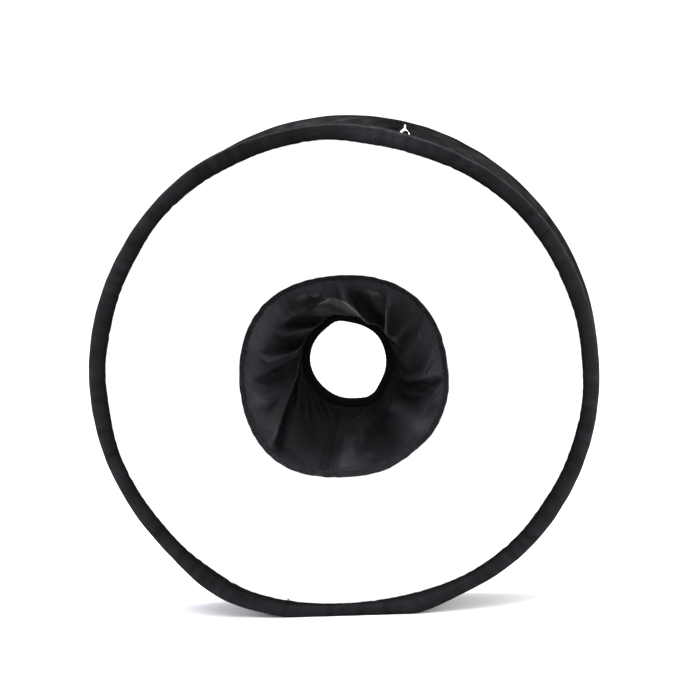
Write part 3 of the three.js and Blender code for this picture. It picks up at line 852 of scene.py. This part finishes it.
def tunnel_sheet():
    """The tunnel's cloth as it is sewn in, with its main folds and creases."""
    angle, t = TUNNEL_ANGLES, TUNNEL_PLACES
    lobes = (mouth_radius(angle) - MOUTH_RADIUS) * (1 - t) + (hole_radius(angle) - HOLE_RADIUS) * t
    y = mix(TUNNEL_START, TUNNEL_END, t)
    free = np.sin(np.pi * t) ** 0.7
    swirl = angle - 0.8 * t
    creases = 0.5 * waves(swirl, 7, 22, 111) + 0.12 * waves(angle, 30, 60, 112, t, 6.0)
    slack = fold_height(angle, t) * smooth(t * 5) * smooth((1 - t) * 4) + MM * creases * free
    lift_in, lift_out = 0.62, 0.78
    return settle(tunnel_radius(t) + lobes - slack * lift_in, angle, y - slack * lift_out)


# Patches of painted light and painted shade on the tunnel's cloth: the angle and how far along the cloth, how
# wide and how long the patch is, and how much lighter it is.
PAINTED_LIGHT_PATCHES = [
    (15, 0.1, 30, 0.2, -0.4), (52, 0.15, 18, 0.25, -0.5), (62, 0.42, 18, 0.25, -0.4),
    (22, 0.38, 12, 0.22, -0.5), (92, 0.12, 10, 0.15, 0.35), (112, 0.12, 7, 0.14, -0.25),
    (122, 0.24, 10, 0.16, 0.3), (136, 0.1, 8, 0.18, -0.35), (134, 0.58, 8, 0.22, 0.6),
    (151, 0.28, 9, 0.3, -0.6), (164, 0.18, 8, 0.24, -0.45), (180, 0.26, 9, 0.22, 0.25),
    (217, 0.18, 15, 0.3, -0.45), (240, 0.1, 9, 0.14, 0.3), (251, 0.68, 10, 0.22, 0.9),
    (265, 0.14, 12, 0.2, 0.45), (270, 0.93, 6, 0.08, 1.6), (284, 0.5, 10, 0.2, 1),
    (300, 0.12, 10, 0.16, 0.35), (302, 0.6, 8, 0.2, -0.6), (335, 0.2, 16, 0.24, -0.3),
    (352, 0.78, 14, 0.16, -0.5), (12, 0.93, 10, 0.09, -0.8), (78, 0.9, 22, 0.25, -0.8),
    (158, 0.75, 12, 0.22, -0.45),
]


def tunnel_tone():
    """The cloth is painted light near the mouth and painted into shade deeper in, towards the lens hole, with
    patches of painted light and shade and the folds' painted highlights and shade.
    """
    angle, t = TUNNEL_ANGLES, TUNNEL_PLACES
    tones_at = [0, 0.12, 0.22, 0.34, 0.5, 0.66, 0.8, 0.93]
    tones = [2.1, 2.05, 1.75, 1.05, 0.65, 0.52, 0.42, 0.30]
    tone = np.interp(t + 0.03 * waves(angle, 3, 11, 113), tones_at, tones)
    for at, far, wide, long, more in PAINTED_LIGHT_PATCHES:
        patch = bell(angle, at, wide) * np.exp(-(((t - far) / long) ** 2))
        tone = tone * (1 + more * patch)
    return tone * (1 + 0.12 * waves(angle, 2, 9, 114, t, 3.0)) * (1 + fold_painted_light(angle, t))


def normals_of(points):
    """Unit normals of a sheet closed round u, pointing away from the viewer in front."""
    du = np.roll(points, -1, 0) - np.roll(points, 1, 0)
    dv = np.gradient(points, axis=1)
    n = unit(np.cross(du, dv))
    return n * np.sign(n[..., 1].mean())


CRUMPLE_SLACK = -0.035  # under 0, so the cloth is let out
CRUMPLE_FRAMES = 28
CRUMPLE_CAP = 4 * MM  # the most that a point may move


def crumpled(points):
    """The tunnel's slack cloth, let go between its two sewn edges so that it settles into small folds."""
    steps, rows = points.shape[:2]
    obj = grid("tunnel_trial", points, True)
    held = obj.vertex_groups.new(name="sewn")
    for row, weight in ((0, 1.0), (1, 0.9), (rows - 2, 0.9), (rows - 1, 1.0)):
        held.add([u * rows + row for u in range(steps)], weight, "REPLACE")
    mod = obj.modifiers.new("cloth", "CLOTH")
    nylon = mod.settings
    nylon.quality = 6
    nylon.mass = 0.12
    nylon.tension_stiffness = 20
    nylon.compression_stiffness = 12
    nylon.shear_stiffness = 8
    nylon.bending_stiffness = 3
    nylon.shrink_min = CRUMPLE_SLACK
    nylon.air_damping = 2
    nylon.vertex_group_mass = "sewn"
    nylon.effector_weights.gravity = 0.4
    mod.collision_settings.use_self_collision = False
    mod.point_cache.frame_start = 1
    mod.point_cache.frame_end = CRUMPLE_FRAMES
    for step in range(1, CRUMPLE_FRAMES + 1):
        scene.frame_set(step)
    settled = np.empty(steps * rows * 3, np.float32)
    modified(obj).data.vertices.foreach_get("co", settled)
    bpy.data.objects.remove(obj)
    scene.frame_set(1)
    moved = settled.reshape(points.shape).astype(float) - points
    length = np.linalg.norm(moved, axis=-1, keepdims=True)
    return points + moved * np.minimum(1, CRUMPLE_CAP / np.maximum(length, 1e-9))


tunnel_points = tunnel_sheet()
tunnel_points = crumpled(tunnel_points)
tunnel_back = normals_of(tunnel_points)
tunnel = grid("tunnel_cloth", tunnel_points, True)
mark_tone(tunnel, tunnel_tone())
tunnel = thick(tunnel, 0.5 * MM)
folding_piece(tunnel, TUNNEL, "black_nylon", "lens_tunnel")
lining_points = (tunnel_points + tunnel_back * 1.0 * MM)[:, 1:TUNNEL_ROWS - 3]
tunnel_lining = thick(grid("tunnel_inner_cloth", lining_points, True), 0.4 * MM)
folding_piece(tunnel_lining, SILVER, "silver_cloth", "tunnel_lining")


def tunnel_seam():
    """The tunnel's cut ends are turned under and sewn down in one narrow flat seam."""
    rows = np.arange(2, TUNNEL_ROWS - 2)
    middle = int(round(SEAM_ANGLE / ROUND * TUNNEL_STEPS))
    strip = np.ix_(middle + np.arange(-3, 4), rows)
    seam = grid("tunnel_seam", tunnel_points[strip] - tunnel_back[strip] * 0.75 * MM)
    mark_tone(seam, 0.8 * tunnel_tone()[strip])
    seam = thick(seam, 0.5 * MM)
    folding_piece(seam, TUNNEL, "black_tape", "tunnel_seam_tape")


tunnel_seam()


def rear_hem():
    """The gathered casing of the lens hole, its section given as millimetres outward and behind the hoop."""
    outside = [
        (8.9, -0.9), (9.0, -3.0), (6.4, -3.7), (3.5, -4.3), (1.2, -4.0), (0.1, -2.6), (0, -0.6),
        (0.1, 1.3), (1.1, 2.3), (4.0, 2.4), (7.0, 2.2), (9.0, 2.1), (8.9, 0.9),
    ]
    inside = [
        (8.9, 0.6), (5.7, 0.6), (5.7, 1.05), (1.3, 1.05), (1.2, -0.8), (1.3, -2.7), (5.7, -2.7),
        (5.7, -0.6), (8.9, -0.6),
    ]
    out, y, outer_part = hem_section(outside, 44, inside)
    angle = turns(900)[:, None]
    gathers = waves(angle, 44, 76, 121) * (0.7 + 0.3 * waves(angle, 3, 9, 122))
    slack = MM * 0.42 * gathers * outer_part * mix(0.25, 1, smooth(out / (5 * MM)))
    near = np.clip(1 - out / (9 * MM), 0, 1)
    radius = hole_radius(angle) + out - slack * near * 0.8
    points = settle(radius, angle, REAR + y + np.sign(y) * slack * 0.7)
    hem = grid("lens_hole_casing", points, True, True)
    make(hem, CASING, "black_tape", "rear_ring", "tunnel_rear_hem")
    turn = turns(120)
    line = settle(hole_radius(turn) + 6.6 * MM, turn, REAR + 2.35 * MM)
    stitches("lens_hole_stitching", line, 1, 1.7 * MM, 0.4 * MM, THREAD, "black_tape", "rear_ring")


rear_hem()

# ---- rear panel and flash port


def cut_port(obj, margin):
    """Cuts the flash port's opening through a sheet."""
    plug = around_port(72, np.zeros((1, 2)), np.array([[-20, 20]]) * MM, margin)
    cutter = grid("port_cutter", np.swapaxes(plug, 0, 1), False, True, caps=True)
    mod = obj.modifiers.new("port", "BOOLEAN")
    mod.operation = "DIFFERENCE"
    mod.solver = "EXACT"
    mod.object = cutter
    applied(obj)
    bpy.data.objects.remove(cutter)


panel = disc("rear_cloth", hole_radius, HOLE_TUCK, CLOTH_EDGE, REAR, 0.3 * MM, 131)
cut_port(thick(panel, 0.6 * MM), 0.0)
make(panel, NYLON, "black_nylon", "rear_ring", "rear_panel")
lining_plane = REAR - 1.9 * MM
panel_lining = disc("rear_inner_cloth", hole_radius, LINING_TUCK, LINING_EDGE, lining_plane, 0.2 * MM, 141)
cut_port(thick(panel_lining, 0.4 * MM), 2 * MM)
make(panel_lining, SILVER, "silver_cloth", "rear_ring", "rear_lining")


def port_ring(name, section, look, slot, node, wrinkle=None):
    """A soft frame round the flash port, with a closed section of millimetres out and back."""
    out, y = (np.asarray(section, float) * MM).T[:, None]
    count = 260
    turn = turns(count)[:, None]
    if wrinkle:
        out = out + wrinkle(turn, y)
    obj = grid(name, around_port(count, out + 0 * turn, y + 0 * turn), True, True)
    return make(obj, look, slot, "rear_ring", node)


def box_section(low, high, steps, first, last):
    """A flat section that runs from low to high at first, and back from high to low at last."""
    there = [(x, first) for x in np.linspace(low, high, steps)]
    return there + [(x, last) for x in np.linspace(high, low, steps)]


def turned(section):
    return [(out, back) for back, out in section]


SLEEVE_START = 1.5
SLEEVE_END = 29.5
STRAP_START = 6.5
STRAP_END = 24.5


def sleeve_wrinkle(turn, y):
    depth = np.clip((y / MM - SLEEVE_START) / (SLEEVE_END - SLEEVE_START), 0, 1)
    free = np.sin(np.pi * np.clip((depth - 0.78) / 0.22, 0, 1))
    return MM * (0.25 * waves(turn, 8, 30, 161, depth, 5.0) * depth + 0.35 * waves(turn, 30, 60, 162) * free)


facing_section = box_section(0.1, 12, 14, 0.75, 1.45)
facing = port_ring("port_facing_cloth", facing_section, NYLON, "black_nylon", "port_facing")
sleeve_section = turned(box_section(1.55, 29.4, 26, 0.1, 1.05))
sleeve = port_ring("sleeve_cloth", sleeve_section, NYLON, "black_nylon", "flash_sleeve", sleeve_wrinkle)
mouth_section = [
    (0.2, 30.2), (0.0, 31.6), (0.3, 33.0), (1.2, 33.7), (2.0, 33.3), (2.45, 31.9), (2.2, 30.4), (1.2, 29.85),
]
port_ring("sleeve_mouth_tape", mouth_section, TAPE, "black_tape", "sleeve_mouth_hem",
          lambda turn, y: MM * (0.22 * waves(turn, 50, 90, 171)))
strap_section = turned(box_section(6.7, 24.3, 12, 1.5, 2.85))
strap_section.insert(12, (2.2, STRAP_END))
strap_section.append((2.2, STRAP_START))
port_ring("strap_webbing", strap_section, TAPE, "black_tape", "flash_strap")

for row, out, count in ((1, 2.0, 100), (2, 10.6, 118)):
    line = around_port(count, np.array([[out * MM]]), np.array([[1.5 * MM]]))[:, 0]
    stitches(f"port_stitching_{row}", line, 1, 1.7 * MM, 0.4 * MM, THREAD, "black_nylon", "rear_ring")

STRAP_TOP = (PORT_SIZE[1] / MM + 2.4) / 2 + 1.7
STRAP_MIDDLE = REAR + (STRAP_START + STRAP_END) / 2 * MM


def strip_along(name, line, width, thickness, seed, rough=0.0):
    """A flat strip whose middle line runs through points in X and Z, standing across the port's strap."""
    steps, sides = 70, 44
    line = spline(line, steps) * MM
    along = unit(np.gradient(line, axis=0))
    up = np.stack([-along[:, 1], along[:, 0]], 1)
    turn = turns(sides)[None]
    high = np.sin(turn)
    y = squarish(np.cos(turn), 0.25) * width / 2
    lift = squarish(high, 0.35) * thickness / 2
    u = np.linspace(0, 1, steps)[:, None]
    if rough:
        rng = np.random.default_rng(seed)
        lift = lift + np.clip(np.sign(high), 0, 1) * rough * (rng.random((steps, sides)) - 0.5)
    ends = np.sqrt(np.clip(np.minimum(u, 1 - u) / 0.012, 0, 1))
    y = y * mix(0.965, 1, ends)
    lift = lift * mix(0.5, 1, ends)
    x = line[:, :1] + up[:, :1] * lift
    z = line[:, 1:] + up[:, 1:] * lift + PORT_HEIGHT
    return grid(name, np.stack([x, STRAP_MIDDLE + y + 0 * x, z], -1), False, True, caps=True)


def above_strap(points):
    """Points along the strap's upper side, their heights counted from the strap's top."""
    return [(x, STRAP_TOP + height) for x, height in points]


loop_line = above_strap([(-10, 0.7), (10, 0.7), (30, 0.7)])
loop_patch = strip_along("loop_fabric", loop_line, 16 * MM, 0.75 * MM, 181, 0.1 * MM)
make(loop_patch, HOOKS, "hook_and_loop", "rear_ring", "strap_loop_patch")
hook_line = above_strap([(-10, 1.8), (5, 1.8), (20, 1.8)])
hook_patch = strip_along("hook_fabric", hook_line, 16 * MM, 0.75 * MM, 182, 0.1 * MM)
make(hook_patch, HOOKS, "hook_and_loop", "strap_tail", "strap_hook_patch")
tail_line = above_strap([
    (-33, 0.9), (-25, 0.9), (-18, 0.95), (-15, 1.8), (-12.5, 2.9), (-4, 3.1), (10, 3.1), (24, 3.1),
])
tail = strip_along("strap_tail_webbing", tail_line, 18 * MM, 1.15 * MM, 183)
make(tail, TAPE, "black_tape", "strap_tail", "strap_tail")

# ---- loose thread at the front rim's foot


def thread_tuft():
    """Five loose thread ends that wander off from where the binding ends."""
    rng = np.random.default_rng(191)
    steps = 22
    verts, faces = [], []
    root = settle(RIM_INNER + 0.4 * MM, math.radians(196.3), FRONT - 1.5 * MM)
    for k in range(5):
        ways = rng.normal(0, 1, (5, 3)) * 0.5
        drift = np.array([rng.uniform(-0.7, 0.9), -0.35, rng.uniform(0.2, 0.9)])
        line = spline(root / MM + np.cumsum(np.vstack([[0, 0, 0], ways + drift]), 0) * 0.95, steps) * MM
        line += np.array([rng.uniform(-0.6, 0.6) * MM, 0, 0])
        along = unit(np.gradient(line, axis=0))
        side = unit(np.cross(along, [0.3, 1, 0.2]))
        rings = thread_rings(side, np.cross(along, side))
        faces += thread_faces(steps, len(verts))
        verts += (line[:, None] + rings * 0.2 * MM).reshape(-1, 3).tolist()
    tuft = new_object("thread_tuft", verts, faces)
    make(tuft, CASING, "black_tape", "front_ring")


thread_tuft()

# ---- camera, light and floor

# The camera's aim, its direction and distance from it, its roll and its lens.
AIM = Vector((-0.0048, 0, 0.2423))
AZIMUTH = math.radians(8.0)
ELEVATION = math.radians(6.6)
ROLL = math.radians(3.7)
DISTANCE = 1.85
LENS = 108.2


def aim(obj, place, target, roll=0.0):
    obj.location = place
    turned = (Vector(target) - Vector(place)).to_track_quat("-Z", "Y").to_matrix()
    turned = turned @ Matrix.Rotation(-roll, 3, "Z")
    obj.rotation_euler = turned.to_euler()


camera = bpy.data.objects.new("camera", bpy.data.cameras.new("camera"))
camera.data.lens = LENS
camera.data.sensor_width = 36
camera.data.clip_start = 0.05
camera.data.clip_end = 60
level = math.cos(ELEVATION)
away = Vector((math.sin(AZIMUTH) * level, -math.cos(AZIMUTH) * level, math.sin(ELEVATION)))
aim(camera, AIM + away * DISTANCE, AIM, ROLL)
scene.collection.objects.link(camera)
scene.camera = camera


def light_from(name, kind, place, target, power, tint=(1, 1, 1)):
    light = bpy.data.lights.new(name, kind)
    light.energy = power
    light.color = tint
    obj = bpy.data.objects.new(name, light)
    aim(obj, place, target)
    scene.collection.objects.link(obj)
    return light


WARM = (1, 0.96, 0.90)
for name, place, height, size, power, tint in [
    ("key", (-0.2, -1.3, 2.1), 0.2, 1.0, 28, WARM),
    ("right", (1.7, -0.1, 0.7), 0.22, 0.9, 32, (1, 0.95, 0.89)),
    ("left", (-1.7, -0.3, 0.9), 0.22, 0.8, 15, (1, 1, 1)),
    ("top", (-0.25, 0.25, 1.8), 0.2, 0.9, 28, WARM),
]:
    soft = light_from(name, "AREA", place, (0, 0, height), power, tint)
    soft.shape = "SQUARE"
    soft.size = size
daylight = light_from("even", "SUN", (-0.05, -1.0, 2.4), (0, 0, 0), 1.2)
daylight.angle = math.radians(60)

world = bpy.data.worlds.new("studio")
world.use_nodes = True
backdrop = world.node_tree.nodes["Background"].inputs
backdrop["Color"].default_value = (1, 1.03, 1.11, 1)
backdrop["Strength"].default_value = 1.2
scene.world = world
scene.view_settings.view_transform = "Standard"
scene.view_settings.look = "None"

FLOOR_HALF = 14.0
corners = [(x * FLOOR_HALF, y * FLOOR_HALF, 0) for x, y in ((-1, -1), (1, -1), (1, 1), (-1, 1))]
floor = new_object("floor", corners, [(0, 1, 2, 3)])
paper = Nodes("pale_floor")
grain = paper.noise(paper.add("TexCoord").outputs["Object"], 60.0)
tones = {0: grain, 6: (0.80, 0.80, 0.80, 1), 7: (0.82, 0.82, 0.82, 1)}
colour = paper.add("Mix", tones, data_type="RGBA").outputs[2]
paper.feed(paper.shader, {"Base Color": colour, "Roughness": 0.9})
floor.data.materials.append(paper.material)
